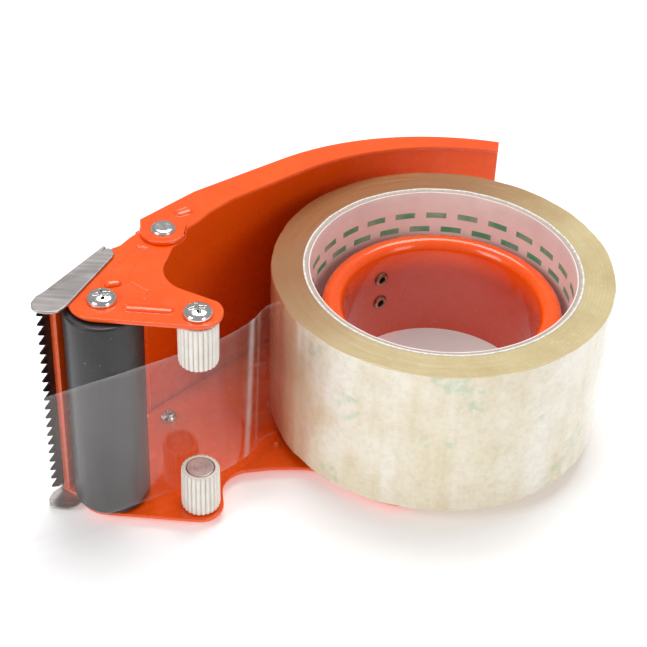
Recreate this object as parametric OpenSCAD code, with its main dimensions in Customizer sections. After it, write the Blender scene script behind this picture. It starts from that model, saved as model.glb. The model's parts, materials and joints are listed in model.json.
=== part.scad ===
// Hand-held carton-sealing tape dispenser, pressed steel, loaded with a roll of clear tape.
// It lies on its side: +Z is along the roll axis, from the closed side up to the open side.
// All plan positions are measured from the hub axis, which stands at hub_x, hub_y.

/* [Placement] */
// Hub axis, distance to the right of the middle of the object
hub_x = 35.11; // [0:0.01:80]
// Hub axis, distance behind the middle of the object
hub_y = 6.72; // [-20:0.01:40]

/* [Frame] */
// Thickness of the pressed steel sheet
sheet = 1.2; // [0.8:0.1:2.0]
// Clear width between the two side plates
inner_width = 66.4; // [50:0.1:80]
// Height of the screw heads outside the side plates
head_height = 2.2; // [1.5:0.1:3.0]
// Corner radius of the side plates around the front roller
nose_radius = 8.7; // [7:0.1:12]
// Corner radius of the side plates around the guide rollers
lobe_radius = 6.4; // [5:0.1:9]
// Direction of the cutter edge, from the roller side to the cutting side
web_angle = 241.2; // [225:0.1:255]

/* [Handle] */
// Straight length of the grip, from the riveted end
grip_straight = 53.6; // [40:0.1:70]
// Direction of the straight part
grip_angle = 49.5; // [40:0.1:60]
// Radius of the curved part
grip_radius = 112; // [90:1:150]
// Angle the curved part turns through
grip_bend = 39.7; // [30:0.5:60]
// Width of the flange at the straight part
flange_width = 7.4; // [5:0.1:12]
// Width of the flange at the free end
flange_tip = 5.0; // [3:0.1:8]
// Height of the grip at its free end
grip_tip_height = 55.2; // [40:0.1:70]

/* [Hub] */
// Inside radius of the hub ring
hub_bore = 28.6; // [25:0.1:32]
// Height of the hub ring's lower edge above the base
hub_low = 8.8; // [5:0.1:15]
// Radius of the rolled rim's tube
rim_tube = 3.2; // [2:0.1:4]
// Height of the rolled rim's centre above the base
rim_height = 38.6; // [30:0.1:45]

/* [Rollers] */
// Radius of the front roller
roller_radius = 10.5; // [8:0.1:14]
// Radius of the guide rollers over their ribs
guide_radius = 5.5; // [4:0.1:8]
// Length of each guide roller
guide_length = 13.6; // [10:0.1:25]
// Number of ribs on each guide roller
guide_ribs = 24; // [12:1:36]
// End play of each roller between the faces it turns against
play = 0.5; // [0.2:0.1:1.0]
// Radial running clearance of every roller on its shaft
running = 0.06; // [0.01:0.01:0.10]

/* [Cutter] */
// Distance between two teeth of the blade
tooth_pitch = 3.2; // [2:0.1:5]
// Depth of the teeth
tooth_depth = 2.6; // [1:0.1:4]
// Thickness of the blade
blade_thick = 0.6; // [0.3:0.1:1.0]
// Thickness of the blade cover
cover_thick = 0.8; // [0.5:0.1:1.5]

/* [Tape] */
// Outside radius of the wound tape
roll_radius = 49.0; // [42:0.1:60]
// Outside radius of the cardboard core
core_outer = 39.8; // [39.2:0.1:43]
// Inside radius of the core
core_inner = 38.0; // [37:0.1:39]
// Width of the tape
tape_width = 48.6; // [36:0.1:60]
// Thickness the drawn-off film is modelled with
film = 0.25; // [0.2:0.05:0.5]
// Direction from the roll centre in which the film leaves the roll
peel_angle = 205; // [180:1:230]
// Length of the free film past the front roller
film_tail = 42; // [10:0.5:60]

/* [Hidden] */
$fn = 96;

plate_low = head_height;                    // outer face of the lower side plate
in_low = plate_low + sheet;                 // inner face of the lower side plate
in_high = in_low + inner_width;             // inner face of the upper side plate
plate_high = in_high + sheet;               // outer face of the upper side plate
flange_low = plate_low - sheet;             // outer face of the lower handle flange
flange_high = plate_high + sheet;           // outer face of the upper handle flange
rivet_head = head_height - sheet;           // both rivet heads end level with the screw heads

roller_at = [-89.6, -47.8];
guide_at = [-64.3, -51.0];
rivet_at = [-78.1, -16.2];
cover_at = [-99.2, -36.5];                  // a point on the outer face of the blade cover
roll_at = [-0.6, -1.2];                      // the core hangs off centre on the hub

web_back = -13;                             // along the cutter edge, from cover_at
web_front = 12;
web_out = cover_thick + blade_thick;        // outer face of the frame's web
web_in = web_out + sheet;
tooth_tip = 16.4;
blade_low = in_low + 1.2;
teeth = 20;
screw_z = [in_low + 14, in_high - 14];      // the two cover screws

tape_low = in_low + 2.6;
tape_high = tape_low + tape_width;

eyelet_angle = 129;
tab_from = eyelet_angle - 7.5;              // the tab's two sides, about the hub axis
tab_to = eyelet_angle + 15;
neck_from = eyelet_angle + 3;               // the tab is narrower below neck_top, where it leaves the plate
neck_top = 17;
eyelet_z = [22.6, 31.4];
hub_wall = hub_bore + sheet;
tab_in = hub_wall + 0.05;

function polar(c, r, a) = c + r * [cos(a), sin(a)];
function arc(c, r, a0, a1, n = 14) = [for (i = [0:n]) polar(c, r, a0 + (a1 - a0) * i / n)];
// a point at distance x along the cutter edge and y inwards from the cover's outer face
function web_point(x, y) = cover_at + x * [cos(web_angle), sin(web_angle)]
                         + y * [-sin(web_angle), cos(web_angle)];

// plan line of the grip: a straight part, then an arc, at distance d inside the outer face
grip_from = [-84.6, -11.6];
grip_dir = [cos(grip_angle), sin(grip_angle)];
grip_in = [sin(grip_angle), -cos(grip_angle)];
grip_knee = grip_from + grip_straight * grip_dir;
grip_centre = grip_knee + grip_radius * grip_in;
grip_end = polar(grip_centre, grip_radius, 90 + grip_angle - grip_bend);
// one step past the free end, which is cut square afterwards
function grip_line(d0, d1, n = 20) = [for (i = [0:n + 1])
    polar(grip_centre, grip_radius - d0 - (d1 - d0) * i / n,
          90 + grip_angle - grip_bend * i / n)];
function grip_along(s, d) = grip_from + s * grip_dir + d * grip_in;
function reversed(v) = [for (i = [len(v) - 1:-1:0]) v[i]];

// film line: roll, bend, guide roller, front roller, free tail
film_dir = [-0.833, -0.553];
film_side = [-0.553, 0.833];
film_start = polar(roll_at, roll_radius + 0.35, peel_angle);
guide_touch = guide_at + (guide_radius + 0.3) * film_side;
roller_touch = roller_at - (roller_radius + 0.3 + film) * film_side;
film_end = roller_touch + film_tail * film_dir;
film_line = concat([film_start, [-49.0, -24.6], [-51.6, -30.6], [-54.6, -34.8], [-59.0, -39.6]],
                   [guide_touch], [roller_touch], [film_end]);
function unit(v) = v / norm(v);
function film_normal(i) = let (a = film_line[max(i - 1, 0)],
                               b = film_line[min(i + 1, len(film_line) - 1)],
                               t = unit(b - a)) [t[1], -t[0]];

module at_hub() translate([hub_x, hub_y, 0]) children();
module at_web() translate([cover_at[0], cover_at[1], 0]) rotate([0, 0, web_angle]) children();
module slab(z0, z1) translate([0, 0, z0]) linear_extrude(z1 - z0) children();
module tube(r1, r0, z0, z1) difference() {
    translate([0, 0, z0]) cylinder(r = r1, h = z1 - z0);
    translate([0, 0, z0 - 1]) cylinder(r = r0, h = z1 - z0 + 2);
}
module pin(r, z0, z1) translate([0, 0, z0]) cylinder(r = r, h = z1 - z0);

// edge of both side plates from the rivet, along the web, to the guide roller
function plate_left() = concat(
    [[-84.8, -16.6], [-86.8, -19.4], [-88.8, -23.3],
     web_point(web_back - 0.3, web_out + 0.05),
     web_point(web_front + 0.3, web_out + 0.05)]);

module upper_plate_shape() polygon(concat(
    plate_left(), arc(roller_at + [-0.4, 0.7], nose_radius, 200, 270),
    arc(guide_at + [0.1, 1.2], lobe_radius, 270, 408, 20),
    arc([-65.4, -31.4], 10.4, 252, 165, 16),
    [[-74.6, -22.6]],
    arc(rivet_at, 6.4, -20, 172, 20)));

module lower_plate_shape() polygon(concat(
    plate_left(), arc(roller_at + [-0.4, -0.5], nose_radius, 200, 270),
    arc(guide_at, lobe_radius, 270, 368, 16),
    arc([-50.4, -44.3], 8.5, 188, 100, 12),
    [[-46.3, -34.5], [-40.5, -33.7], [-35.6, -33.4], [-32.8, -33.7]],
    arc([0, 0], 46.6, 228.4, 256, 8),
    arc(polar([0, 0], 40.3, 257), 6.2, 257, 437, 12),
    arc([0, 0], 34.0, 256, tab_to, 30),
    arc([0, 0], tab_in + sheet / 2, tab_to - 0.8, neck_from + 0.8, 8),
    arc([0, 0], 37.5, neck_from, 108, 4),
    arc([0, 0], 46.6, 108, 124, 6),
    [grip_knee + 1.5 * grip_in, grip_from + 1.5 * grip_in]));

// pressed bead along +X, standing up out of a plate whose outer face is at z = 0
module bead(length) for (s = [[1.35, 0.25], [1.05, 0.50], [0.60, 0.68]]) slab(s[1] - 0.4, s[1])
    polygon(concat(arc([length / 2, 0], s[0], -90, 90), arc([-length / 2, 0], s[0], 90, 270)));

// 1: head, web, lower side plate, arm and hub tab, pressed from one sheet
module base_frame() color([1.0, 0.36, 0.14]) at_hub() {
    difference() {
        union() {
            difference() {
                slab(in_high, plate_high) upper_plate_shape();
                slab(plate_high - 0.35, plate_high + 1) polygon([[-91.2, -38.2], [-84.0, -23.0],
                    [-81.0, -23.6], [-84.4, -35.4], [-83.4, -39.0], [-78.2, -42.6], [-78.8, -46.2],
                    [-86.8, -46.0], [-90.8, -43.0]]);
            }
            slab(plate_low, in_low) lower_plate_shape();
            at_web() translate([web_back, web_out, plate_low + 0.05])
                cube([web_front - web_back, sheet, plate_high - plate_low - 0.1]);
            at_web() translate([9, web_in - 0.2, in_low - 0.3]) cube([2.9, 1.1, inner_width + 0.6]);
            translate([-77.2, -50.4, plate_high]) bead(10.5);
            translate([-88.0, -40.2, plate_high]) rotate([0, 0, 20]) bead(1.6);
            translate([-54.2, 11.9, in_low]) rotate([0, 0, 25]) bead(2.4);
            translate([-45.2, -23.3, in_low]) rotate([0, 0, 70]) bead(1.2);
            for (t = [[plate_low, neck_from], [neck_top, tab_from]]) intersection() {
                tube(tab_in + sheet, tab_in, t[0], 34.6);
                linear_extrude(80) polygon([[0, 0], polar([0, 0], 60, t[1]),
                                            polar([0, 0], 60, tab_to)]);
            }
        }
        for (p = [roller_at, guide_at]) translate([p[0], p[1], -1]) cylinder(r = 2.1, h = 90);
        translate([rivet_at[0], rivet_at[1], -1]) cylinder(r = 1.9, h = 90);
        for (z = screw_z) at_web() translate([0, 0, z]) rotate([-90, 0, 0])
            translate([0, 0, web_out - 1]) cylinder(r = 1.65, h = 4);
        for (z = eyelet_z) rotate([0, 0, eyelet_angle]) translate([hub_bore - 2, 0, z])
            rotate([0, 90, 0]) cylinder(r = 1.65, h = 8);
    }
}

// 2: grip, one curved channel with a flange along each side
module grip_flange_shape() polygon(concat(
    [grip_along(-0.8, 0)], grip_line(0, 0),
    reversed(grip_line(flange_width, flange_tip)),
    [grip_along(26.8, 7.9), grip_along(16.5, 9.4), grip_along(11.2, 11.0)],
    arc(rivet_at, 6.4, 10, -165, 20), [[-84.5, -15.6]]));
module grip_web_shape() polygon(concat(
    [grip_along(-0.8, 0)], grip_line(0, 0), reversed(grip_line(sheet, sheet)),
    [grip_along(-0.8, sheet)]));
// side view of everything at or below a line that runs level, then down to the free end
grip_slope = (flange_high - grip_tip_height) / (grip_end[0] + 72);
module grip_side(top) translate([0, 100, 0]) rotate([90, 0, 0]) linear_extrude(200)
    polygon([[-100, flange_low], [-100, top], [-72, top],
             [grip_end[0] + 12, top - grip_slope * (grip_end[0] + 84)],
             [grip_end[0] + 12, flange_low]]);
module handle() color([1.0, 0.36, 0.14]) at_hub() difference() {
    union() {
        intersection() {
            slab(flange_low, flange_high) grip_web_shape();
            grip_side(flange_high);
        }
        slab(plate_low, in_high - 1) polygon([grip_along(-2.8, 0.05), grip_along(2, 0.05),
            grip_along(2, sheet - 0.05), grip_along(-2.8, sheet - 0.05)]);
        slab(flange_low, plate_low) grip_flange_shape();
        difference() {
            intersection() {
                slab(flange_low, flange_high) grip_flange_shape();
                grip_side(flange_high);
            }
            grip_side(plate_high);
        }
        translate([-73.6, -7.6, flange_high]) rotate([0, 0, 35]) bead(2.4);
    }
    translate([rivet_at[0], rivet_at[1], -1]) cylinder(r = 1.9, h = 90);
    translate([grip_end[0], grip_end[1], -1]) rotate([0, 0, -4])
        translate([0, -30, 0]) cube([20, 60, 90]);
}

// 3: two tubular rivets, heads outside, rolled tails inside
module rivet_up() rotate_extrude() polygon([[0, -2 * sheet], [1.85, -2 * sheet], [1.85, 0],
    [3.45, 0], [3.4, 0.3], [3.1, 0.65], [2.6, 0.88], [2.0, rivet_head], [0, rivet_head]]);
module rivet_tail() rotate_extrude() polygon([[1.0, -2.2], [1.0, 0.3], [1.85, 0.3], [1.85, 0],
    [2.4, 0], [2.45, -0.7], [2.3, -1.4], [1.9, -1.9], [1.4, -2.2]]);
module handle_rivets() color([0.78, 0.78, 0.8]) at_hub() translate([rivet_at[0], rivet_at[1], 0]) {
    translate([0, 0, flange_high]) union() {
        rivet_up();
        translate([0, 0, -2 * sheet]) rivet_tail();
    }
    translate([0, 0, flange_low]) mirror([0, 0, 1]) union() {
        rivet_up();
        translate([0, 0, -2 * sheet]) rivet_tail();
    }
}

// 4: hub ring with a rolled rim at its open side
module hub_ring() color([1.0, 0.33, 0.10]) at_hub() difference() {
    union() {
        tube(hub_wall, hub_bore, hub_low, rim_height);
        rotate_extrude() translate([hub_bore + rim_tube, rim_height]) difference() {
            circle(r = rim_tube, $fn = 64);
            circle(r = rim_tube - sheet, $fn = 64);
            polygon([[0, 0], [-0.6, -5], [3.6, -5]]);
        }
    }
    for (z = eyelet_z) rotate([0, 0, eyelet_angle]) translate([hub_bore - 3, 0, z])
        rotate([0, 90, 0]) cylinder(r = 1.65, h = 5);
}

// 5: two hollow eyelets holding the ring to the tab
module hub_eyelets() color([0.35, 0.16, 0.10]) at_hub() for (z = eyelet_z)
    rotate([0, 0, eyelet_angle]) translate([0, 0, z]) rotate([0, 90, 0]) rotate_extrude()
        polygon([[1.05, hub_bore - 0.6], [1.3, hub_bore - 0.85], [2.0, hub_bore - 0.75],
                 [2.35, hub_bore - 0.3], [2.35, hub_bore - 0.12], [1.6, hub_bore - 0.12],
                 [1.6, tab_in + sheet], [2.4, tab_in + sheet], [2.3, tab_in + sheet + 0.5],
                 [1.05, tab_in + sheet + 0.6]]);

// 6 and 7: front roller with a bush pressed into each end
module front_roller() color([0.16, 0.16, 0.17]) at_hub() translate([roller_at[0], roller_at[1], 0])
    rotate_extrude() polygon([[7.2, in_low + play], [10.0, in_low + play],
        [roller_radius, in_low + play + 0.5], [roller_radius, in_high - play - 0.5],
        [10.0, in_high - play], [7.2, in_high - play]]);
module roller_bushes() color([0.08, 0.08, 0.09]) at_hub()
    translate([roller_at[0], roller_at[1], 0]) for (m = [0, 1])
        translate([0, 0, m * (in_low + in_high)]) mirror([0, 0, m]) difference() {
            union() {
                pin(7.18, in_low + play + 0.4, in_low + play + 6);
                pin(4.6, in_low + play, in_low + play + 9);
            }
            pin(3.0 + running, in_low, in_low + play + 10);
        }

// 8: fixed shaft of the front roller, tapped at both ends
module roller_axle() color([0.72, 0.72, 0.74]) at_hub()
    translate([roller_at[0], roller_at[1], 0]) difference() {
        pin(3.0, in_low + 0.02, in_high - 0.02);
        pin(2.0, in_low - 1, in_low + 10);
        pin(2.0, in_high - 10, in_high + 1);
    }

// 9: four identical cross-recess screws, one in each end of the two roller positions
module pan_screw() difference() {
    rotate_extrude() polygon([[0, -9], [1.95, -9], [1.95, 0], [3.9, 0], [3.95, 0.5], [3.8, 1.0],
                              [3.4, 1.45], [2.6, 1.85], [1.4, 2.12], [0, head_height]]);
    for (a = [0, 90]) rotate([0, 0, a + 20]) translate([-2.3, -0.45, 0.8]) cube([4.6, 0.9, 3]);
    translate([0, 0, 0.7]) cylinder(r1 = 0.6, r2 = 1.3, h = 3);
}
module pan_screws() color([0.82, 0.82, 0.84]) at_hub() for (p = [roller_at, guide_at])
    translate([p[0], p[1], 0]) {
        translate([0, 0, plate_high]) pan_screw();
        translate([0, 0, plate_low]) mirror([0, 0, 1]) pan_screw();
    }

// 10, 11, 12: short ribbed guide rollers on headed pins, one on each side plate
module guide_roller() difference() {
    union() {
        translate([0, 0, play]) cylinder(r1 = guide_radius - 0.45, r2 = guide_radius - 0.6,
                                         h = guide_length);
        for (i = [0:guide_ribs - 1]) rotate([0, 0, i * 360 / guide_ribs])
            translate([guide_radius - 0.52, 0, play]) cylinder(r = 0.5, h = guide_length, $fn = 16);
    }
    pin(2.6 + running, -1, guide_length + 5);
    pin(4.0, guide_length + play - 1.5, guide_length + 5);
}
module guide_pin() difference() {
    union() {
        pin(2.6, 0.02, guide_length + play - 1.0);
        pin(3.85, guide_length + play - 1.2, guide_length + play);
    }
    pin(2.0, -1, 9);
}
module guide_roller_bottom() color([0.93, 0.91, 0.87]) at_hub()
    translate([guide_at[0], guide_at[1], in_low]) guide_roller();
module guide_roller_top() color([0.93, 0.91, 0.87]) at_hub()
    translate([guide_at[0], guide_at[1], in_high]) mirror([0, 0, 1]) guide_roller();
module guide_pins() color([0.66, 0.56, 0.52]) at_hub() {
    translate([guide_at[0], guide_at[1], in_low]) guide_pin();
    translate([guide_at[0], guide_at[1], in_high]) mirror([0, 0, 1]) guide_pin();
}

// 13: saw-toothed blade, clamped between the cover and the web
module tooth(z) translate([0, z]) polygon([[tooth_tip - tooth_depth - 0.1, 0],
    [tooth_tip, 0.55 * tooth_pitch], [tooth_tip - 0.25, 0.66 * tooth_pitch],
    [tooth_tip - 1.5, 0.82 * tooth_pitch], [tooth_tip - tooth_depth, tooth_pitch],
    [tooth_tip - tooth_depth - 0.1, tooth_pitch]]);
module cutter_blade() color([0.07, 0.07, 0.08]) at_hub() difference() {
    at_web() translate([0, cover_thick + blade_thick, blade_low]) rotate([90, 0, 0])
        linear_extrude(blade_thick) union() {
            translate([-6, 0]) square([tooth_tip - tooth_depth + 6, teeth * tooth_pitch]);
            for (i = [0:teeth - 1]) tooth(i * tooth_pitch);
        }
    for (z = screw_z) at_web() translate([0, 0, z]) rotate([-90, 0, 0])
        cylinder(r = 1.65, h = 4);
}

// 14: cover outside the blade, with an ear over each side plate that shields the blade's ends
module cover_ear_shape() polygon([[-12, 0.9], [-8, 0], [11.6, 0], [14.6, -0.4], [17.2, 0.3],
    [19.0, 2.0], [19.2, 3.6], [18.4, 5.8], [17.3, 7.4], [16.0, 8.3], [14.3, 8.6], [13.1, 8.6],
    [-10.4, 5.1], [-12.1, 4.3], [-12.9, 3.2], [-13.0, 1.7]]);
module blade_cover() color([0.62, 0.60, 0.59]) at_hub() difference() {
    at_web() union() {
        translate([-13, 0, plate_low - cover_thick])
            cube([24.6, cover_thick, plate_high - plate_low + 2 * cover_thick]);
        slab(plate_high, plate_high + cover_thick) cover_ear_shape();
        slab(plate_low - cover_thick, plate_low) cover_ear_shape();
    }
    for (z = screw_z) at_web() translate([0, 0, z]) rotate([-90, 0, 0])
        translate([0, 0, -1]) cylinder(r = 1.65, h = 4);
}

// 15 and 16: two screws through cover, blade and web, with thin nuts inside
module cover_screws() color([0.75, 0.75, 0.77]) at_hub() for (z = screw_z)
    at_web() translate([0, 0, z]) rotate([90, 0, 0]) difference() {
        rotate_extrude() polygon([[0, -web_in - 0.95], [1.5, -web_in - 0.95], [1.5, 0], [2.8, 0],
                                  [2.75, 0.6], [2.2, 1.1], [1.2, 1.35], [0, 1.4]]);
        for (a = [0, 90]) rotate([0, 0, a]) translate([-1.5, -0.3, 0.6]) cube([3, 0.6, 2]);
    }
module cover_nuts() color([0.70, 0.70, 0.72]) at_hub() for (z = screw_z)
    at_web() translate([0, 0, z]) rotate([-90, 0, 0]) difference() {
        translate([0, 0, web_in]) cylinder(r = 2.9, h = 0.75, $fn = 6);
        translate([0, 0, web_in - 1]) cylinder(r = 1.55, h = 4);
    }

// 17, 18, 19: cardboard core, its paper lining, and the wound film
module tape_core() color([0.70, 0.62, 0.52]) at_hub() translate([roll_at[0], roll_at[1], 0])
    tube(core_outer, core_inner + 0.4, tape_low, tape_high);
module core_liner() color([0.82, 0.74, 0.73]) at_hub() translate([roll_at[0], roll_at[1], 0])
    tube(core_inner + 0.4, core_inner, tape_low, tape_high);
module tape_roll() color([0.84, 0.78, 0.60, 0.9]) at_hub()
    translate([roll_at[0], roll_at[1], 0]) rotate_extrude() polygon([
        [core_outer, tape_low], [roll_radius - 0.3, tape_low], [roll_radius, tape_low + 0.3],
        [roll_radius, tape_high - 0.3], [roll_radius - 0.3, tape_high], [core_outer, tape_high]]);

// 20: film drawn off the roll, behind the guide rollers and over the front roller
module tape_strip() color([0.86, 0.80, 0.68, 0.45]) at_hub() slab(tape_low, tape_high)
    polygon(concat(
        film_line,
        [for (i = [len(film_line) - 1:-1:0]) film_line[i] + film * film_normal(i)]));

// 21: torn end of film standing out of the core beside the hub rim
module film_scrap() color([0.95, 0.95, 0.95]) at_hub() translate([roll_at[0], roll_at[1], 0])
    difference() {
        intersection() {
            tube(core_inner, core_inner - 0.3, tape_high - 11.5, tape_high - 2);
            linear_extrude(80) polygon([[0, 0], polar([0, 0], 60, 190), polar([0, 0], 60, 206)]);
        }
        rotate([0, 0, 198]) translate([core_inner - 3, 2.6, tape_high - 5]) rotate([30, 0, 0])
            cube([6, 6, 6]);
    }

base_frame();
handle();
handle_rivets();
hub_ring();
hub_eyelets();
front_roller();
roller_bushes();
roller_axle();
pan_screws();
guide_roller_top();
guide_roller_bottom();
guide_pins();
cutter_blade();
blade_cover();
cover_screws();
cover_nuts();
tape_core();
core_liner();
tape_roll();
tape_strip();
film_scrap();
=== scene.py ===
import json
import math

import bmesh
import bpy
import numpy as np
from mathutils import Matrix, Vector, noise


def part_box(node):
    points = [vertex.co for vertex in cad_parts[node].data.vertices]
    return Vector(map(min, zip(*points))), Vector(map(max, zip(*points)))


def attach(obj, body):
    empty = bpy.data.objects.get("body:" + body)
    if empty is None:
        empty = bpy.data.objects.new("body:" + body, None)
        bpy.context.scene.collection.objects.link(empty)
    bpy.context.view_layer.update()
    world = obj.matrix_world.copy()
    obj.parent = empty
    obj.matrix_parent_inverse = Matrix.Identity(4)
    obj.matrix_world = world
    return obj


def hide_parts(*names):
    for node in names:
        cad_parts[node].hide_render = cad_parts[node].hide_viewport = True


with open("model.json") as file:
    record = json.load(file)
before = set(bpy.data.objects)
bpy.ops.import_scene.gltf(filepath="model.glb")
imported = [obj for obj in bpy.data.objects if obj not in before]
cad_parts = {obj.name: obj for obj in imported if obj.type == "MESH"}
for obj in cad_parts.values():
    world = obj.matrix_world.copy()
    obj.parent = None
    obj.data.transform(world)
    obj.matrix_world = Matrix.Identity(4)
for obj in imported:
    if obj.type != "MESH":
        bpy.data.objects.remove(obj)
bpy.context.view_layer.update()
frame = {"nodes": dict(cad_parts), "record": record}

MM = 0.001
NODE = frame["nodes"]
BODY = {n: b for b, names in frame["record"]["behaviour"]["bodies"].items() for n in names}


def middle(node):
    lo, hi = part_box(node)
    return (lo + hi) / 2 / MM


def z_range(node):
    lo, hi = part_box(node)
    return lo.z / MM, hi.z / MM


HUB = middle("hub_ring")
ROLL = middle("tape_roll")
ROLLER = middle("front_roller")
GUIDE = middle("guide_roller_bottom")


# ---------------------------------------------------------------- node helpers
def put(tree, kind, inputs=None, **attributes):
    node = tree.nodes.new(kind)
    for k, v in attributes.items():
        setattr(node, k, v)
    for k, v in (inputs or {}).items():
        if isinstance(v, bpy.types.NodeSocket):
            tree.links.new(v, node.inputs[k])
        else:
            node.inputs[k].default_value = v
    return node


class Material:
    """A Principled material with short calls for the nodes that every one of them uses."""

    def __init__(self, name, **sockets):
        self.data = bpy.data.materials.new(name)
        self.data.use_nodes = True
        self.tree = self.data.node_tree
        self.shader = self.tree.nodes["Principled BSDF"]
        self.place = put(self.tree, "ShaderNodeTexCoord").outputs["Object"]
        for k, v in sockets.items():
            self.set(k.replace("_", " "), v)

    def set(self, socket, value):
        if isinstance(value, bpy.types.NodeSocket):
            self.tree.links.new(value, self.shader.inputs[socket])
        else:
            self.shader.inputs[socket].default_value = value

    def stretched(self, scale, at=(0, 0, 0), turn=(0, 0, 0)):
        return put(self.tree, "ShaderNodeMapping", {"Vector": self.place, "Location": at, "Scale": scale,
                                                    "Rotation": turn}).outputs[0]

    def noise(self, scale, detail=3.0, rough=0.55, vector=None, distort=0.0):
        return put(self.tree, "ShaderNodeTexNoise", {
            "Vector": vector or self.place, "Scale": scale, "Detail": detail, "Roughness": rough,
            "Distortion": distort}).outputs["Fac"]

    def math(self, op, a, b=0.0, c=0.0, clamp=False):
        return put(self.tree, "ShaderNodeMath", {0: a, 1: b, 2: c}, operation=op, use_clamp=clamp).outputs[0]

    def span(self, value, a, b, c, d, smooth=False):
        return put(self.tree, "ShaderNodeMapRange", {
            "Value": value, "From Min": a, "From Max": b, "To Min": c, "To Max": d},
            interpolation_type="SMOOTHSTEP" if smooth else "LINEAR").outputs["Result"]

    def mix(self, factor, a, b, blend="MIX"):
        def colour(c):
            return c if isinstance(c, bpy.types.NodeSocket) else (*c, 1)
        node = put(self.tree, "ShaderNodeMix", data_type="RGBA", blend_type=blend)
        for i, v in ((0, factor), (6, colour(a)), (7, colour(b))):
            if isinstance(v, bpy.types.NodeSocket):
                self.tree.links.new(v, node.inputs[i])
            else:
                node.inputs[i].default_value = v
        return node.outputs[2]

    def parts(self, vector=None):
        node = put(self.tree, "ShaderNodeSeparateXYZ", {0: vector or self.place})
        return node.outputs

    def bump(self, height, distance, strength=1.0, under=None):
        inputs = {"Height": height, "Distance": distance, "Strength": strength}
        if under is not None:
            inputs["Normal"] = under
        return put(self.tree, "ShaderNodeBump", inputs).outputs[0]

    def around(self, centre):
        """Distance from a vertical axis, angle about it and height, in millimetres and radians."""
        x, y, z = self.parts()
        dx = self.math("SUBTRACT", self.math("MULTIPLY", x, 1 / MM), centre[0])
        dy = self.math("SUBTRACT", self.math("MULTIPLY", y, 1 / MM), centre[1])
        r = self.math("SQRT", self.math("ADD", self.math("MULTIPLY", dx, dx), self.math("MULTIPLY", dy, dy)))
        return r, self.math("ARCTAN2", dy, dx), self.math("MULTIPLY", z, 1 / MM)


def srgb(r, g, b):
    return tuple((c / 12.92 if c <= 0.04045 else ((c + 0.055) / 1.055) ** 2.4)
                 for c in (r / 255, g / 255, b / 255))


# ------------------------------------------------------------------- materials
def orange_paint(name, shaded=False):
    """Gloss enamel. shaded paints shade onto the inside of the hub: a darker paint colour there that stands
    for the shade.
    """
    m = Material(name, Specular_IOR_Level=0.35, Coat_Weight=0.7, Coat_Roughness=0.035, Coat_IOR=1.5)
    cloud = m.noise(28, 3)
    fine = m.noise(210, 4)
    base = m.mix(m.span(cloud, 0.35, 0.65, 0, 1), srgb(250, 84, 2), srgb(253, 94, 6))
    dust = m.span(m.noise(1900, 2, 0.4), 0.70, 0.80, 0, 0.16)
    base = m.mix(dust, base, srgb(255, 160, 118))
    if shaded:
        r, turn, height = m.around(HUB)
        # painted shade: the paint colour darkens down the inside wall of the hub, below its rim
        inside = m.math("MULTIPLY", m.span(r, 28.4, 29.3, 1, 0, True), m.span(height, 31.0, 39.0, 1, 0, True))
        base = m.mix(m.math("MULTIPLY", inside, 0.85), base, srgb(176, 38, 2))
    m.set("Base Color", base)
    m.set("Roughness", m.span(fine, 0.3, 0.7, 0.20, 0.34))
    peel = m.bump(m.noise(620, 2, 0.5), 0.00002, 0.35)
    m.set("Normal", m.bump(m.noise(95, 2, 0.5), 0.00006, 0.22, peel))
    return m.data


def bright_steel(name, tint, rough=(0.10, 0.22)):
    m = Material(name, Metallic=1.0)
    smear = m.noise(260, 4, 0.6)
    m.set("Base Color", m.mix(m.span(smear, 0.4, 0.7, 0, 1), tint, tuple(0.86 * c for c in tint)))
    m.set("Roughness", m.span(m.noise(700, 3), 0.3, 0.7, *rough))
    m.set("Normal", m.bump(m.noise(1500, 2), 0.00001, 0.3))
    return m.data


def turned_steel(name, tint, centre):
    """Steel with the fine rings that a lathe leaves, about a vertical axis."""
    m = Material(name, Metallic=1.0)
    r, turn, height = m.around(centre)
    rings = put(m.tree, "ShaderNodeTexNoise", {"W": m.math("MULTIPLY", r, 9.0), "Scale": 1.0, "Detail": 3.0},
                noise_dimensions="1D").outputs["Fac"]
    m.set("Base Color", m.mix(m.span(m.noise(330, 3), 0.35, 0.7, 0, 1), tint, tuple(0.72 * c for c in tint)))
    m.set("Roughness", m.span(rings, 0.3, 0.7, 0.20, 0.42))
    m.set("Normal", m.bump(rings, 0.00002, 0.5))
    return m.data


def cover_steel():
    """Bare galvanised sheet: long drawn streaks and blotches."""
    m = Material("bare_sheet", Metallic=1.0)
    along = m.stretched((60, 60, 60), turn=(0, 0, math.radians(-61)))
    long = m.stretched((70, 900, 260), turn=(0, 0, math.radians(-61)))
    streak = m.noise(1.0, 4, 0.65, long)
    blotch = m.noise(1.0, 4, 0.6, along, 0.8)
    tone = m.mix(m.span(streak, 0.35, 0.68, 0, 1), srgb(168, 162, 160), srgb(200, 195, 193))
    tone = m.mix(m.span(blotch, 0.42, 0.66, 0, 0.45), tone, srgb(140, 134, 132))
    m.set("Base Color", tone)
    m.set("Roughness", m.span(blotch, 0.3, 0.7, 0.30, 0.46))
    m.set("Normal", m.bump(streak, 0.00003, 0.45, m.bump(blotch, 0.00025, 0.35)))
    return m.data


def blade_steel():
    m = Material("blackened_steel", Metallic=0.75, Coat_Weight=0.25, Coat_Roughness=0.2)
    oil = m.noise(150, 4, 0.6)
    worn = m.span(m.noise(900, 3, 0.6), 0.62, 0.72, 0, 0.5)
    m.set("Base Color", m.mix(worn, m.mix(oil, srgb(26, 26, 28), srgb(40, 40, 43)), srgb(96, 94, 92)))
    m.set("Roughness", m.span(oil, 0.3, 0.7, 0.26, 0.48))
    m.set("Normal", m.bump(m.noise(1200, 3), 0.00002, 0.4))
    return m.data


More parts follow.
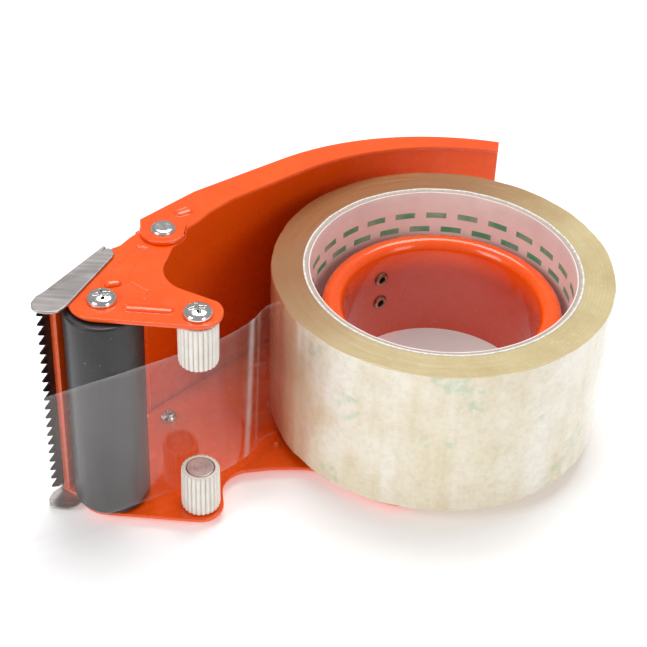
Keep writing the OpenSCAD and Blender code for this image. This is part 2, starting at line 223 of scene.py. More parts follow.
def roller_plastic():
    m = Material("roller_black", Specular_IOR_Level=0.4, Coat_Weight=0.18, Coat_Roughness=0.22)
    lengthwise = m.noise(1.0, 3, 0.6, m.stretched((420, 420, 9)))
    haze = m.noise(70, 3)
    tone = m.mix(m.span(haze, 0.35, 0.65, 0, 1), srgb(36, 35, 38), srgb(46, 45, 48))
    speck = m.span(m.noise(1500, 1, 0.3), 0.745, 0.78, 0, 0.6)
    m.set("Base Color", m.mix(speck, tone, srgb(120, 120, 120)))
    m.set("Roughness", m.span(lengthwise, 0.3, 0.7, 0.32, 0.46))
    m.set("Normal", m.bump(lengthwise, 0.00002, 0.3, m.bump(m.noise(260, 2), 0.00003, 0.2)))
    return m.data


def bush_plastic():
    m = Material("bush_black", Specular_IOR_Level=0.4)
    grain = m.noise(800, 4, 0.6)
    m.set("Base Color", m.mix(m.span(grain, 0.3, 0.7, 0, 1), srgb(30, 30, 32), srgb(48, 48, 50)))
    m.set("Roughness", m.span(grain, 0.3, 0.7, 0.5, 0.68))
    m.set("Normal", m.bump(grain, 0.00003, 0.5))
    return m.data


def guide_plastic(name, centre):
    """Ivory moulded plastic: darker down in the flutes, and light through the ribs."""
    m = Material(name, Specular_IOR_Level=0.45, Subsurface_Weight=0.12, Subsurface_Scale=0.0012)
    m.set("Subsurface Radius", (1.0, 0.8, 0.6))
    r, turn, height = m.around(centre)
    deep = m.span(r, 4.85, 5.35, 1, 0, True)
    mottle = m.noise(240, 4, 0.6)
    tone = m.mix(m.span(mottle, 0.35, 0.7, 0, 1), srgb(247, 243, 236), srgb(237, 231, 221))
    m.set("Base Color", m.mix(m.math("MULTIPLY", deep, 0.55), tone, srgb(196, 184, 168)))
    m.set("Roughness", m.span(mottle, 0.3, 0.7, 0.32, 0.46))
    m.set("Normal", m.bump(m.noise(1100, 2), 0.00002, 0.3))
    return m.data


def board(name):
    """Grey wound board: thin spiral plies seen on the end, fibres elsewhere."""
    m = Material(name, Specular_IOR_Level=0.25)
    r, turn, height = m.around(ROLL)
    ply = put(m.tree, "ShaderNodeTexNoise", {"W": m.math("MULTIPLY", r, 3.2), "Scale": 1.0, "Detail": 2.0},
              noise_dimensions="1D").outputs["Fac"]
    fibre = m.noise(900, 4, 0.7)
    tone = m.mix(m.span(ply, 0.35, 0.65, 0, 1), srgb(176, 160, 146), srgb(214, 202, 190))
    m.set("Base Color", m.mix(m.span(fibre, 0.35, 0.75, 0, 0.5), tone, srgb(150, 132, 118)))
    m.set("Roughness", m.span(fibre, 0.3, 0.7, 0.7, 0.9))
    m.set("Normal", m.bump(fibre, 0.00006, 0.6))
    return m.data


def liner_paper():
    """Pale pink-grey liner with a plain printed rule: rows of solid bars, set like bricks."""
    m = Material("liner_print", Specular_IOR_Level=0.35)
    r, turn, height = m.around(ROLL)
    run = m.math("MULTIPLY", turn, 38.0)
    low, high = z_range("core_liner")

    def row(at, tall, pitch, share, shift=0.0):
        near = m.math("ABSOLUTE", m.math("SUBTRACT", height, at))
        inside = m.span(near, tall / 2, tall / 2 + 0.15, 1, 0)
        step = m.math("FRACT", m.math("DIVIDE", m.math("ADD", run, 500.0 + shift), pitch))
        on = m.span(m.math("ABSOLUTE", m.math("SUBTRACT", step, 0.5)), share / 2, share / 2 + 0.02, 1, 0)
        return m.math("MULTIPLY", inside, on)

    marks = m.math("MAXIMUM", row(high - 8.4, 1.8, 9.6, 0.62), row(high - 13.4, 1.8, 9.6, 0.62, 4.8))
    marks = m.math("MAXIMUM", marks, row(low + 12.0, 1.8, 9.6, 0.62, 2.0))
    patchy = m.span(m.noise(200, 2, 0.5), 0.34, 0.60, 0.70, 0.95)
    cloud = m.noise(120, 4, 0.6)
    paper = m.mix(m.span(cloud, 0.35, 0.7, 0, 1), srgb(250, 236, 232), srgb(241, 223, 219))
    m.set("Base Color", m.mix(m.math("MULTIPLY", marks, patchy), paper, srgb(70, 166, 122)))
    fibre = m.noise(1.0, 3, 0.6, m.stretched((700, 700, 160)))
    m.set("Roughness", m.span(fibre, 0.3, 0.7, 0.34, 0.52))
    m.set("Normal", m.bump(fibre, 0.00003, 0.4, m.bump(cloud, 0.0002, 0.15)))
    return m.data


def wound_film():
    """Clear film wound many turns deep: honey coloured on its end, pale and streaky round its side."""
    m = Material("wound_film", Specular_IOR_Level=0.5, Coat_Weight=0.45, Coat_Roughness=0.10,
                 Subsurface_Weight=0.18, Subsurface_Scale=0.004)
    m.set("Subsurface Radius", (1.0, 0.85, 0.55))
    r, turn, height = m.around(ROLL)
    low, high = z_range("tape_roll")
    # side: columns of trapped air that run with the axis, over softer clouds
    streak = m.noise(1.0, 3, 0.6, m.stretched((150, 150, 10)))
    broad = m.noise(1.0, 3, 0.55, m.stretched((42, 42, 11)))
    cloud = m.noise(55, 4, 0.6)
    side = m.mix(m.span(broad, 0.36, 0.62, 0, 1), srgb(226, 212, 172), srgb(246, 240, 226))
    side = m.mix(m.span(streak, 0.42, 0.68, 0, 0.6), side, srgb(252, 248, 240))
    side = m.mix(m.span(cloud, 0.46, 0.72, 0, 0.4), side, srgb(204, 182, 128))
    grain = m.noise(560, 4, 0.7)
    side = m.mix(m.span(grain, 0.45, 0.75, 0, 0.22), side, srgb(170, 146, 92))
    # the core's print, seen dimly through all that film
    ghost = m.math("MULTIPLY", m.span(m.noise(85, 2, 0.5), 0.60, 0.68, 0, 0.30, True),
                   m.span(m.noise(330, 3, 0.6), 0.42, 0.6, 0, 1))
    side = m.mix(ghost, side, srgb(120, 190, 150))
    # end: turns show as fine rings, darker and warmer
    ring = put(m.tree, "ShaderNodeTexNoise", {"W": m.math("MULTIPLY", r, 4.5), "Scale": 1.0, "Detail": 4.0,
                                              "Roughness": 0.75}, noise_dimensions="1D").outputs["Fac"]
    end = m.mix(m.span(ring, 0.30, 0.70, 0, 1), srgb(196, 176, 124), srgb(222, 208, 164))
    end = m.mix(m.span(cloud, 0.38, 0.66, 0, 0.55), end, srgb(183, 158, 106))
    end = m.mix(m.span(m.noise(760, 3, 0.7), 0.55, 0.8, 0, 0.35), end, srgb(238, 228, 196))
    # painted reflection: amber on the end towards the grip and orange on the side near it, the grip's orange
    # painted into the film's colour; it turns with the roll
    shade = m.math("COSINE", m.math("SUBTRACT", turn, math.radians(140)))
    end = m.mix(m.span(shade, -0.55, 0.7, 0, 0.85, True), end, srgb(148, 86, 38))
    # painted reflection of the grip's orange on the side of the roll
    painted_orange_side = m.math("COSINE", m.math("SUBTRACT", turn, math.radians(172)))
    side = m.mix(m.span(painted_orange_side, 0.45, 1.0, 0, 0.8, True), side, srgb(178, 96, 22))
    facing = put(m.tree, "ShaderNodeNewGeometry").outputs["Normal"]
    up = m.math("ABSOLUTE", m.parts(facing)[2])
    m.set("Base Color", m.mix(m.span(up, 0.45, 0.8, 0, 1, True), side, end))
    m.set("Roughness", m.span(up, 0.3, 0.8, 0.24, 0.36))
    rings = m.bump(ring, 0.00005, 0.5)
    m.set("Normal", m.bump(streak, 0.0001, 0.14, m.bump(m.noise(300, 3), 0.00004, 0.25, rings)))
    return m.data


def clear_film(name, haze, tint):
    """One or two turns of clear film: it mirrors at its surface and veils a little, more in the folds."""
    m = Material(name, Roughness=0.08, Specular_IOR_Level=0.5)
    fold = put(m.tree, "ShaderNodeAttribute", attribute_name="haze").outputs["Fac"]
    facing = m.math("SUBTRACT", 1.0, put(m.tree, "ShaderNodeLayerWeight", {"Blend": 0.5}).outputs["Facing"])
    away = m.math("SUBTRACT", 1.0, facing)
    mirror = m.math("ADD", 0.05, m.math("MULTIPLY", m.math("POWER", away, 5.0), 0.5))
    veil = m.span(m.noise(180, 4, 0.6), 0.35, 0.7, 0.8, 1.25)
    veil = m.math("MULTIPLY", veil, m.math("ADD", haze, m.math("MULTIPLY", fold, 0.5)))
    alpha = m.math("ADD", veil, mirror, clamp=True)
    m.set("Alpha", alpha)
    m.set("Metallic", m.math("DIVIDE", mirror, m.math("MAXIMUM", alpha, 0.001), clamp=True))
    m.set("Base Color", m.mix(m.span(m.noise(60, 3), 0.35, 0.65, 0, 1), tint, tuple(0.93 * c for c in tint)))
    m.set("Normal", m.bump(m.noise(24, 1), 0.00006, 0.06))
    return m.data


def studio_floor():
    m = Material("studio_floor", Specular_IOR_Level=0.25, Emission_Color=(1, 0.985, 0.98, 1),
                 Emission_Strength=0.26)
    cloud = m.noise(3, 3)
    m.set("Base Color", m.mix(m.span(cloud, 0.3, 0.7, 0, 1), (0.90, 0.90, 0.905), (0.915, 0.915, 0.92)))
    m.set("Roughness", m.span(m.noise(40, 3), 0.3, 0.7, 0.42, 0.55))
    return m.data


ORANGE = orange_paint("orange_enamel")
# the same enamel with painted shade inside the hub
HUB_ORANGE_PAINTED_SHADE = orange_paint("hub_enamel_painted_shade", shaded=True)
SCREW = bright_steel("plated_screw", (0.86, 0.85, 0.83))
RIVET = bright_steel("plated_rivet", (0.80, 0.80, 0.80), (0.16, 0.30))
AXLE = turned_steel("axle_steel", (0.62, 0.61, 0.60), ROLLER)
PIN = turned_steel("pin_steel", (0.56, 0.51, 0.49), GUIDE)
EYELET = bright_steel("painted_eyelet", (0.34, 0.20, 0.14), (0.28, 0.42))
COVER = cover_steel()
BLADE = blade_steel()
BLACK = roller_plastic()
BUSH = bush_plastic()
IVORY = guide_plastic("ivory_plastic", GUIDE)
BOARD = board("core_board")
LINER = liner_paper()
FILM = wound_film()
WEB = clear_film("drawn_film", 0.004, srgb(240, 238, 236))
SCRAP = clear_film("loose_film", 0.38, srgb(250, 248, 248))


# ----------------------------------------------------------------- mesh makers
def finish_object(name, bm, material, node, smooth=38, stands=True, weighted=True):
    bmesh.ops.recalc_face_normals(bm, faces=bm.faces)
    mesh = bpy.data.meshes.new(name)
    bm.to_mesh(mesh)
    bm.free()
    mesh.polygons.foreach_set("use_smooth", [True] * len(mesh.polygons))
    mesh.set_sharp_from_angle(angle=math.radians(smooth))
    mesh.materials.append(material)
    o = bpy.data.objects.new(name, mesh)
    bpy.context.scene.collection.objects.link(o)
    if weighted:
        w = o.modifiers.new("flat_faces_stay_flat", "WEIGHTED_NORMAL")
        w.keep_sharp = True
    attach(o, BODY[node])
    if stands:
        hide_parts(node)
    return o


def softened(node, name, material, width, segments=2, angle=26, smooth=38):
    """The CAD node's own shape with its edges rounded, as a pressed or turned part's are."""
    bm = bmesh.new()
    bm.from_mesh(NODE[node].data)
    bmesh.ops.remove_doubles(bm, verts=bm.verts, dist=2e-6)
    bmesh.ops.dissolve_degenerate(bm, edges=bm.edges, dist=4e-6)
    bmesh.ops.dissolve_limit(bm, angle_limit=math.radians(0.6), verts=bm.verts, edges=bm.edges)
    sharp = [e for e in bm.edges if e.is_manifold and e.calc_face_angle() > math.radians(angle)]
    bmesh.ops.bevel(bm, geom=sharp, offset=width * MM, offset_type="OFFSET", segments=segments,
                    profile=0.5, affect="EDGES", clamp_overlap=False)
    bmesh.ops.dissolve_degenerate(bm, edges=bm.edges, dist=4e-6)
    return finish_object(name, bm, material, node, smooth=smooth)


def rounded(points, radius, steps=4):
    """A closed outline with its corners rounded. radius is one number, or one for each corner."""
    out = []
    n = len(points)
    for i, p in enumerate(points):
        r = radius[i] if hasattr(radius, "__len__") else radius
        a, p, b = Vector(points[i - 1]), Vector(p), Vector(points[(i + 1) % n])
        u, v = a - p, b - p
        half = u.angle(v) / 2 if u.length and v.length else math.pi / 2
        if r <= 0 or half > math.pi / 2 - 0.02:
            out.append(tuple(p))
            continue
        cut = min(r / math.tan(half), 0.48 * u.length, 0.48 * v.length)
        s, e = p + u.normalized() * cut, p + v.normalized() * cut
        for k in range(steps + 1):
            t = k / steps
            out.append(tuple((1 - t) ** 2 * s + 2 * t * (1 - t) * p + t * t * e))
    return out


def split(outline, longest):
    """The same closed outline with no side longer than that."""
    out = []
    for i, p in enumerate(outline):
        q = outline[(i + 1) % len(outline)]
        n = max(1, math.ceil(math.dist(p, q) / longest))
        out += [(p[0] + (q[0] - p[0]) * k / n, p[1] + (q[1] - p[1]) * k / n) for k in range(n)]
    return out


def turned(outline, centre, around=192, shape=None):
    """A closed (radius, height) outline turned about an upright axis. shape may move its points."""
    bm = bmesh.new()
    rings = []
    for k in range(around):
        a = 2 * math.pi * k / around
        ring = []
        for r, z in outline:
            rr, zz = shape(r, z, a) if shape else (r, z)
            x, y = centre[0] + rr * math.cos(a), centre[1] + rr * math.sin(a)
            ring.append(bm.verts.new((x * MM, y * MM, zz * MM)))
        rings.append(ring)
    n = len(outline)
    for k in range(around):
        a, b = rings[k], rings[(k + 1) % around]
        for i in range(n):
            bm.faces.new((a[i], a[(i + 1) % n], b[(i + 1) % n], b[i]))
    return bm


def drilled(o, holes):
    """Cuts round holes, each (from, to, radius) in millimetres, through an object's mesh."""
    cutters = []
    for start, end, radius in holes:
        bm = bmesh.new()
        s, e = Vector(start) * MM, Vector(end) * MM
        turn = (e - s).to_track_quat("Z", "Y").to_matrix().to_4x4()
        bmesh.ops.create_cone(bm, cap_ends=True, segments=40, radius1=radius * MM, radius2=radius * MM,
                              depth=(e - s).length, matrix=Matrix.Translation((s + e) / 2) @ turn)
        mesh = bpy.data.meshes.new("cutter")
        bm.to_mesh(mesh)
        bm.free()
        cutter = bpy.data.objects.new("cutter", mesh)
        bpy.context.scene.collection.objects.link(cutter)
        mod = o.modifiers.new("hole", "BOOLEAN")
        mod.operation, mod.object, mod.solver = "DIFFERENCE", cutter, "EXACT"
        cutters.append(cutter)
    bpy.context.view_layer.update()
    made = bpy.data.meshes.new_from_object(o.evaluated_get(bpy.context.evaluated_depsgraph_get()))
    o.modifiers.clear()
    o.data = made
    for c in cutters:
        bpy.data.objects.remove(c)
    made.set_sharp_from_angle(angle=math.radians(38))


def capsule(bm, centre, turn, length, half_width, height, sunk=0.25):
    """A pressed bead: a smooth elongated dome that stands out of a flat sheet."""
    c, s = math.cos(math.radians(turn)), math.sin(math.radians(turn))
    rows = []
    count = 48
    for i in range(9):
        e = math.radians(90 * i / 8)
        row = []
        for k in range(count):
            a = 2 * math.pi * (k + 0.5) / count
            x = half_width * math.cos(e) * math.cos(a) + math.copysign(length / 2, math.cos(a))
            y = half_width * math.cos(e) * math.sin(a)
            row.append(bm.verts.new(((centre[0] + c * x - s * y) * MM, (centre[1] + s * x + c * y) * MM,
                                     (centre[2] + height * math.sin(e)) * MM)))
        rows.append(row)
    foot = [bm.verts.new((v.co.x, v.co.y, (centre[2] - sunk) * MM)) for v in rows[0]]
    rows.insert(0, foot)
    for a, b in zip(rows, rows[1:]):
        for k in range(count):
            j = (k + 1) % count
            bm.faces.new((a[k], a[j], b[j], b[k]))
    bm.faces.new(list(reversed(foot)))
    bmesh.ops.remove_doubles(bm, verts=rows[-1] + rows[-2], dist=1e-6)


# --------------------------------------------------------------- pressed metal
softened("base_frame", "frame_pressing", ORANGE, 0.28)
softened("handle", "grip_channel", ORANGE, 0.34)
softened("handle_rivets", "grip_rivets", RIVET, 0.08, 2, angle=30)
softened("hub_eyelets", "hub_eyelet_pair", EYELET, 0.08, 2, angle=30)
softened("roller_bushes", "bush_pair", BUSH, 0.15, 2, angle=40)
softened("roller_axle", "axle_shaft", AXLE, 0.12, 2, angle=40)
softened("pan_screws", "cross_screws", SCREW, 0.10, 2, angle=30)
softened("guide_pins", "headed_pins", PIN, 0.15, 2, angle=40)
softened("cutter_blade", "saw_blade", BLADE, 0.06, 1, angle=30)
softened("blade_cover", "blade_guard", COVER, 0.28)
softened("cover_screws", "guard_screws", SCREW, 0.06, 2, angle=30)
softened("cover_nuts", "guard_nuts", SCREW, 0.08, 2, angle=30)


def beads():
    bm = bmesh.new()
    top = z_range("base_frame")[1] - 0.68
    low = z_range("base_frame")[0] + 1.2
    for x, y, z, turn, length in ((-77.2, -50.4, top, 0, 10.5), (-88.0, -40.2, top, 20, 1.6),
                                  (-54.2, 11.9, low, 25, 2.4), (-45.2, -23.3, low, 70, 1.2)):
        capsule(bm, (HUB.x + x, HUB.y + y, z), turn, length, 1.5, 0.76)
    top = z_range("handle")[1] - 0.68
    capsule(bm, (HUB.x - 73.6, HUB.y - 7.6, top), 35, 2.4, 1.5, 0.76)
    return finish_object("pressed_beads", bm, ORANGE, "base_frame", stands=False, weighted=False)


beads()

# ------------------------------------------------------------------------- hub
BORE, WALL, TUBE = 28.6, 1.2, 3.2
HUB_LOW, HUB_TOP = z_range("hub_ring")
RIM = HUB_TOP - TUBE
hub = [(BORE, HUB_LOW), (BORE, (HUB_LOW + RIM) / 2)]
hub += [(BORE + TUBE + TUBE * math.cos(a), RIM + TUBE * math.sin(a))
        for a in (math.radians(180 - 230 * i / 36) for i in range(37))]
hub += [(BORE + TUBE + (TUBE - WALL) * math.cos(a), RIM + (TUBE - WALL) * math.sin(a))
        for a in (math.radians(-50 + 230 * i / 28) for i in range(29))]
hub += [(BORE + WALL, (HUB_LOW + RIM) / 2), (BORE + WALL, HUB_LOW)]
hub_piece = finish_object("hub_rim", turned(hub, HUB, 256), HUB_ORANGE_PAINTED_SHADE, "hub_ring", weighted=False)
EYELET_ANGLE, EYELET_Z = math.radians(129), (22.6, 31.4)
out = Vector((math.cos(EYELET_ANGLE), math.sin(EYELET_ANGLE), 0))
drilled(hub_piece, [(Vector((HUB.x, HUB.y, z)) + out * 24, Vector((HUB.x, HUB.y, z)) + out * 33, 1.62)
                    for z in EYELET_Z])

# --------------------------------------------------------------------- rollers
low, high = z_range("front_roller")
finish_object("front_drum", turned(split(rounded(
    [(7.2, low), (10.5, low), (10.5, high), (7.2, high)], [0.3, 0.9, 0.9, 0.3], 6), 4), ROLLER, 160),
    BLACK, "front_roller", weighted=False)


def fluted(node, name, flip):
    """A short moulded roller with 24 round ribs, a sunk end and a bore."""
    lo, hi = z_range(node)
    ribs = 24

    def at(z):
        return lo + hi - z if flip else z

    length = hi - lo
    outline = split(rounded([(2.66, 0), (4.95, 0), (4.95, length), (4.1, length), (4.0, length - 1.5),
                             (2.66, length - 1.5)], [0.15, 0.25, 0.3, 0.15, 0.15, 0.15], 3), 1.6)

    def shape(r, z, a):
        wave = abs(math.cos(ribs * a / 2)) ** 0.75
        grow = 0.55 * wave * min(1, max(0, (r - 4.45) / 0.5))
        taper = 0.10 * z / length if r > 4.45 else 0
        rim = min(1, z / 0.5, (length - z) / 0.5) if r > 4.45 else 1
        return r + grow * (0.55 + 0.45 * max(rim, 0)) - taper, at(lo + z)

    drum = turned(outline, GUIDE, ribs * 16, shape)
    return finish_object(name, drum, IVORY, node, weighted=False, smooth=50)


fluted("guide_roller_bottom", "guide_drum_low", False)
fluted("guide_roller_top", "guide_drum_high", True)

# ------------------------------------------------------------------------ tape
TAPE_LOW, TAPE_HIGH = z_range("tape_roll")
R_OUT, R_CORE, R_LINER, R_IN = 49.0, 39.8, 38.4, 38.0


def ripple(a, k, seed):
    return noise.noise(Vector((k * math.cos(a), k * math.sin(a), seed)))


def roll_shape(r, z, a):
    """Turns that don't lie quite true: flats and bulges round the side, and rings that step on the end."""
    side = max(0.0, (r - R_CORE - 6) / (R_OUT - R_CORE - 6))
    dent = 0.10 + 0.34 * ripple(a, 5.5, 0.3) + 0.14 * ripple(a, 16, 2.1 + z * 0.05)
    rr = r - side * max(0.0, dent + 0.05 * math.sin(z * 0.7 + 5 * ripple(a, 3, 9)))
    if z > TAPE_HIGH - 0.4:
        step = 0.16 * noise.noise(Vector((r * 2.3, 3.1, 0))) + 0.10 * noise.noise(
            Vector((r * 0.8, 4 * math.cos(a), 4 * math.sin(a))))
        zz = z - abs(step)
    elif z < TAPE_LOW + 0.4:
        zz = z + 0.05 * abs(noise.noise(Vector((r * 2.3, 7.7, 0))))
    else:
        zz = z
    return rr, zz


outline = split(rounded([(R_CORE, TAPE_LOW), (R_OUT, TAPE_LOW), (R_OUT, TAPE_HIGH), (R_CORE, TAPE_HIGH)],
                        [0, 0.35, 0.35, 0], 4), 0.55)
# the end is cut finely, the side coarsely
outline = [p for i, p in enumerate(outline) if not (abs(p[0] - R_OUT) < 1e-6 or abs(p[0] - R_CORE) < 1e-6)
           or i % 4 == 0 or abs(p[1] - TAPE_LOW) < 0.5 or abs(p[1] - TAPE_HIGH) < 0.5]
finish_object("wound_turns", turned(outline, ROLL, 360, roll_shape), FILM, "tape_roll", weighted=False,
              smooth=55)


def core_shape(r, z, a):
    if z > TAPE_HIGH - 0.3:
        return r, z + 0.10 * ripple(a, 9, 4.4 + r) - 0.12
    return r, z


core_outline = split(rounded([(R_LINER, TAPE_LOW), (R_CORE, TAPE_LOW), (R_CORE, TAPE_HIGH),
                              (R_LINER, TAPE_HIGH)], 0.2, 3), 1.0)
finish_object("core_board_tube", turned(core_outline, ROLL, 288, core_shape), BOARD, "tape_core",
              weighted=False)
liner_outline = split(rounded([(R_IN, TAPE_LOW), (R_LINER, TAPE_LOW), (R_LINER, TAPE_HIGH),
                               (R_IN, TAPE_HIGH)], 0.12, 2), 2.5)
finish_object("core_liner_tube", turned(liner_outline, ROLL, 288, core_shape), LINER, "core_liner",
              weighted=False)


def lip():
    """The first turns of film stand a hair above the board; their near-white colour is a painted highlight
    for the light they catch as a white line.
    """
    m = Material("film_edge_painted_highlight", Roughness=0.35)
    grain = m.noise(900, 3)
    # painted highlight: near-white colour for the lit edge of the first turns
    m.set("Base Color", m.mix(m.span(grain, 0.35, 0.7, 0, 1), srgb(250, 250, 248), srgb(214, 208, 200)))
    m.set("Normal", m.bump(grain, 0.00004, 0.5))
    inner, outer = R_CORE - 0.4, R_CORE + 0.15
    ring = rounded([(inner, TAPE_HIGH - 0.5), (outer, TAPE_HIGH - 0.5), (outer, TAPE_HIGH + 0.14),
                    (inner, TAPE_HIGH + 0.14)], 0.15, 3)

    def shape(r, z, a):
        wobble = 0.10 * ripple(a, 8, 1.7)
        return r + wobble * 0.6, z + (wobble if z > TAPE_HIGH else 0)
    return finish_object("first_turns", turned(ring, ROLL, 288, shape), m.data, "tape_roll", stands=False,
                         weighted=False)


lip()

# ------------------------------------------------------------- drawn-off film
FILM_DIR = Vector((-0.833, -0.553)).normalized()
FILM_SIDE = Vector((-0.553, 0.833))
peel = math.radians(205)
hub2 = HUB.to_2d()
start = ROLL.to_2d() + 49.4 * Vector((math.cos(peel), math.sin(peel)))
guide_touch = GUIDE.to_2d() + 5.86 * FILM_SIDE
roller_touch = ROLLER.to_2d() - 10.94 * FILM_SIDE
FREE_TAIL = 41.8                    # free film past the front roller
tail = roller_touch + FREE_TAIL * FILM_DIR
route = [start] + [hub2 + Vector(p) for p in ((-49.0, -24.6), (-51.6, -30.6), (-54.6, -34.8), (-59.0, -39.6))]
route += [guide_touch, roller_touch, tail]


def softened_line(points, radius, steps=6):
    out = [points[0]]
    for a, p, b in zip(points, points[1:], points[2:]):
        u, v = (a - p), (b - p)
        cut = min(radius, 0.45 * u.length, 0.45 * v.length)
        s, e = p + u.normalized() * cut, p + v.normalized() * cut
        for k in range(steps + 1):
            t = k / steps
            out.append((1 - t) ** 2 * s + 2 * t * (1 - t) * p + t * t * e)
    return out + [points[-1]]


def along(line, count):
    """Points at even steps along a plan line, each with its direction and its distance from the start."""
    lengths = [0.0]
    for a, b in zip(line, line[1:]):
        lengths.append(lengths[-1] + (b - a).length)
    out, k = [], 0
    for i in range(count):
        s = lengths[-1] * i / (count - 1)
        while k < len(line) - 2 and lengths[k + 1] < s:
            k += 1
        t = (s - lengths[k]) / max(lengths[k + 1] - lengths[k], 1e-9)
        out.append((line[k].lerp(line[k + 1], t), s))
    return out, lengths[-1]


def film():
    line = softened_line(route, 2.2)
    points, total = along(line, 260)
    bend = (start - route[1]).length + (route[1] - route[2]).length
    rows = 30
    bm = bmesh.new()
    haze = bm.verts.layers.float.new("haze")
    thick = 0.06
    faces = []
    reach = total - FREE_TAIL
    for skin in (0, 1):
        grid = []
        for i, (p, s) in enumerate(points):
            a, b = points[max(i - 1, 0)][0], points[min(i + 1, len(points) - 1)][0]
            d = (b - a).normalized()
            n = Vector((d.y, -d.x))
            column = []
            for j in range(rows + 1):
                h = j / rows
                z = TAPE_LOW + (TAPE_HIGH - TAPE_LOW) * h
                free = math.sin(math.pi * min(1, max(0, (s - 1) / (bend + 9)))) if s < bend + 10 else 0
                slack = 0.12 * free * noise.noise(Vector((s * 0.28, h * 3.0, 0.5)))
                loose = min(1, max(0, (s - reach) / 20))
                sway = 0.9 * noise.noise(Vector((s * 0.05, h * 1.4, 4.2)))
                slack += loose * (sway + 0.5 * loose * (h - 0.5))
                between = min(1, max(0, (s - bend - 12) / 5)) * min(1, max(0, (reach - 4 - s) / 5))
                slack += 0.05 * between * noise.noise(Vector((s * 0.2, h * 2.2, 8.8)))
                cut = 0.35 * noise.noise(Vector((h * 16, 2.2, 0))) * max(0, 1 - (total - s) / 1.5)
                q = p + n * (slack + skin * thick) + d * cut
                v = bm.verts.new((q.x * MM, q.y * MM, z * MM))
                crease = 1.7 * math.exp(-((s - bend - 1.6 + 2.2 * (h - 0.5)) / 1.1) ** 2)
                crease += 0.55 * math.exp(-((s - bend + 2.0 + 1.2 * (h - 0.3)) / 0.7) ** 2)
                fine = max(0, noise.noise(Vector((s * 0.9, h * 2.0, 3.3))))
                crease += 0.30 * fine * (1 if s < bend + 14 else 0.25)
                edge = 0.10 * (math.exp(-((h) / 0.012) ** 2) + math.exp(-((1 - h) / 0.012) ** 2))
                v[haze] = min(1.0, 0.30 * crease + edge)
                column.append(v)
            grid.append(column)
        faces.append(grid)
    one, two = faces
    last = len(points) - 1
    for i in range(last):
        for j in range(rows):
            bm.faces.new((one[i][j], one[i + 1][j], one[i + 1][j + 1], one[i][j + 1]))
            bm.faces.new((two[i][j + 1], two[i + 1][j + 1], two[i + 1][j], two[i][j]))
        for j in (0, rows):
            bm.faces.new((one[i][j], two[i][j], two[i + 1][j], one[i + 1][j]))
    for i in (0, last):
        for j in range(rows):
            bm.faces.new((one[i][j], one[i][j + 1], two[i][j + 1], two[i][j]))
    return finish_object("drawn_film_web", bm, WEB, "tape_strip", weighted=False, smooth=70)


film()


def scrap():
    """A torn corner of clear film that stuck to the liner and curls in over the hub."""
    bm = bmesh.new()
    haze = bm.verts.layers.float.new("haze")
    lo, hi = z_range("film_scrap")
    skins = []
    for skin in (0, 1):
        grid = []
        for i in range(29):
            t = i / 28
            a = math.radians(190 + 16 * t)
            column = []
            for j in range(17):
                h = j / 16
                top = hi - 2.2 * abs(noise.noise(Vector((t * 5, 1.5, 0)))) * (1 if 0.2 < t < 0.8 else 0.6)
                z = lo + (top - lo) * h
                r = R_IN - 0.08 - 0.16 * skin - 0.10 * (0.5 + noise.noise(Vector((t * 6, h * 4, 2.0))))
                v = bm.verts.new(((ROLL.x + r * math.cos(a)) * MM, (ROLL.y + r * math.sin(a)) * MM, z * MM))
                v[haze] = 0.25 + 0.7 * max(0, noise.noise(Vector((t * 7, h * 7, 5.0))))
                column.append(v)
            grid.append(column)
        skins.append(grid)
    one, two = skins
    for i in range(28):
        for j in range(16):
            bm.faces.new((one[i][j], one[i + 1][j], one[i + 1][j + 1], one[i][j + 1]))
            bm.faces.new((two[i][j + 1], two[i + 1][j + 1], two[i + 1][j], two[i][j]))
        for j in (0, 16):
            bm.faces.new((one[i][j], two[i][j], two[i + 1][j], one[i + 1][j]))
    for i in (0, 28):
        for j in range(16):
            bm.faces.new((one[i][j], one[i][j + 1], two[i][j + 1], two[i][j]))
    return finish_object("torn_film", bm, SCRAP, "film_scrap", weighted=False, smooth=70)


scrap()

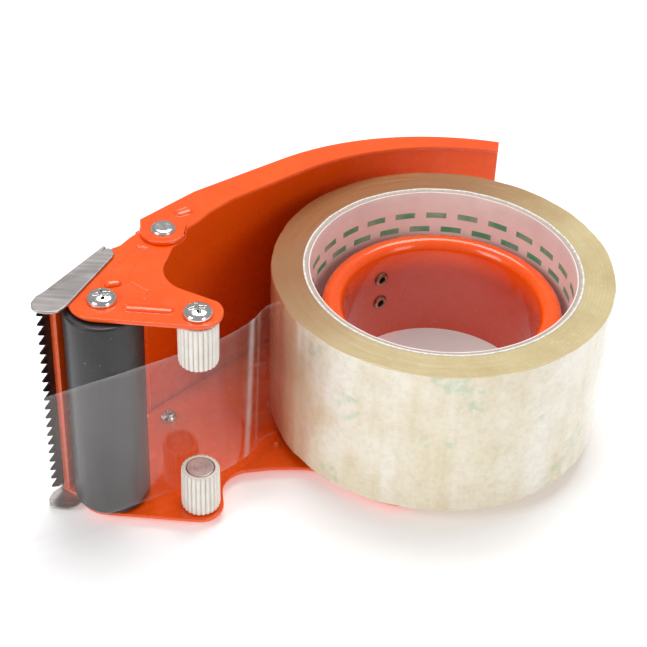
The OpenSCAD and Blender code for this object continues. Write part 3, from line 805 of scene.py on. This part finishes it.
# ----------------------------------------------------------------- surroundings
def ground():
    bm = bmesh.new()
    n = 24
    grid = [[bm.verts.new((-3 + 6 * i / n, -3 + 6 * j / n, 0)) for j in range(n + 1)] for i in range(n + 1)]
    for i in range(n):
        for j in range(n):
            bm.faces.new((grid[i][j], grid[i + 1][j], grid[i + 1][j + 1], grid[i][j + 1]))
    mesh = bpy.data.meshes.new("studio_floor")
    bm.to_mesh(mesh)
    bm.free()
    mesh.materials.append(studio_floor())
    o = bpy.data.objects.new("studio_floor", mesh)
    bpy.context.scene.collection.objects.link(o)


ground()


def area(name, at, size, power, tint=(1, 1, 1), to=(0, 0, 0.03)):
    data = bpy.data.lights.new(name, "AREA")
    data.shape = "RECTANGLE"
    data.size, data.size_y = size
    data.energy = power
    data.color = tint
    o = bpy.data.objects.new(name, data)
    bpy.context.scene.collection.objects.link(o)
    o.location = at
    o.rotation_mode = "QUATERNION"
    o.rotation_quaternion = (Vector(to) - Vector(at)).to_track_quat("-Z", "Y")
    return o


area("overhead", (0.05, 0.45, 1.25), (0.9, 0.65), 12.4)
area("left_front", (-1.0, -0.75, 0.85), (0.6, 0.8), 7.0)
area("right_front", (1.05, -0.9, 0.7), (0.5, 0.8), 3.6)

world = bpy.data.worlds.new("studio")
bpy.context.scene.world = world
world.use_nodes = True
world.node_tree.nodes["Background"].inputs["Color"].default_value = (1, 1, 1, 1)
world.node_tree.nodes["Background"].inputs["Strength"].default_value = 0.34
bpy.context.scene.view_settings.view_transform = "Standard"

# ---------------------------------------------------------------------- camera
right = Vector((0.9973350, 0.0651093, 0.0329208))
up = Vector((-0.0661581, 0.6168365, 0.7843060))
ahead = Vector((-0.0307588, 0.7843937, -0.6195000))
camera = bpy.data.objects.new("camera", bpy.data.cameras.new("camera"))
bpy.context.scene.collection.objects.link(camera)
camera.data.sensor_width = 36
camera.data.lens = 1679.40 / 647 * 36
camera.data.clip_start, camera.data.clip_end = 0.02, 20
place = Matrix((right, up, -ahead)).transposed().to_4x4()
place.translation = Vector((HUB.x - 18.855, HUB.y - 387.481, 336.380)) * MM
camera.matrix_world = place
bpy.context.scene.camera = camera
